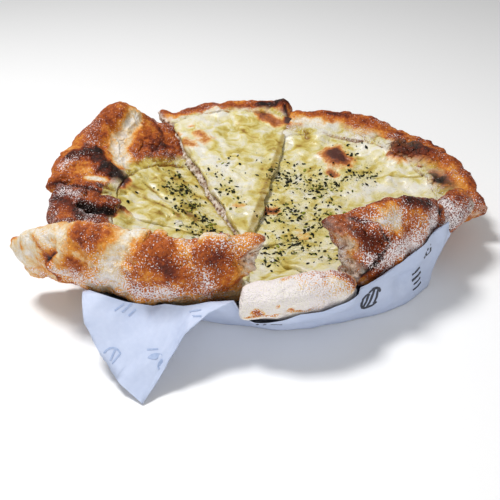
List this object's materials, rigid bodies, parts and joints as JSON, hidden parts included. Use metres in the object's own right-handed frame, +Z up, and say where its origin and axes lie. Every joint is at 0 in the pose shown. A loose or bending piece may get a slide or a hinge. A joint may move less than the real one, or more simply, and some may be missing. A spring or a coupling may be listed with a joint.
{
  "type": "cheese pizza bread",
  "caption": "Round leopard-baked pizza bread with melted cheese and dried herbs, cut in slices and dished in a folded sheet of greaseproof paper.",
  "frame": {"origin": "on the flat underside of the paper liner, under the middle of the round", "axes": "+Z up out of the dished bread, +X to the right and -Y to the front, where the paper's corner is folded out"},
  "size_m": [0.296, 0.2924, 0.0697],
  "materials": {
    "crust_back": "baked bread crust, golden with brown blisters",
    "cheese_back": "melted cheese with dried herb flakes",
    "crust_back_right": "baked bread crust, golden with dark blisters",
    "cheese_back_right": "melted cheese with dried herb flakes",
    "crust_right": "baked bread crust, floured",
    "cheese_right": "melted cheese with dried herb flakes",
    "crust_front_right": "baked bread crust, dark brown and floured",
    "cheese_front_right": "melted cheese with dried herb flakes",
    "crust_front": "pale floured bread crust",
    "cheese_front": "melted cheese with dried herb flakes",
    "crust_front_left": "floured bread crust with large brown blisters",
    "cheese_front_left": "melted cheese with dried herb flakes",
    "crust_left": "charred floured bread crust",
    "cheese_left": "melted cheese with dried herb flakes",
    "crust_back_left": "bread crust with brown and charred blisters",
    "cheese_back_left": "melted cheese with dried herb flakes",
    "paper": null
  },
  "bodies": {
    "root": {"back_bread": "crust_back", "back_cheese": "cheese_back", "back_right_bread": "crust_back_right", "back_right_cheese": "cheese_back_right", "right_bread": "crust_right", "right_cheese": "cheese_right", "front_right_bread": "crust_front_right", "front_right_cheese": "cheese_front_right", "front_bread": "crust_front", "front_cheese": "cheese_front", "front_left_bread": "crust_front_left", "front_left_cheese": "cheese_front_left", "left_bread": "crust_left", "left_cheese": "cheese_left", "back_left_bread": "crust_back_left", "back_left_cheese": "cheese_back_left", "paper_liner": "paper"}
  },
  "joints": []
}
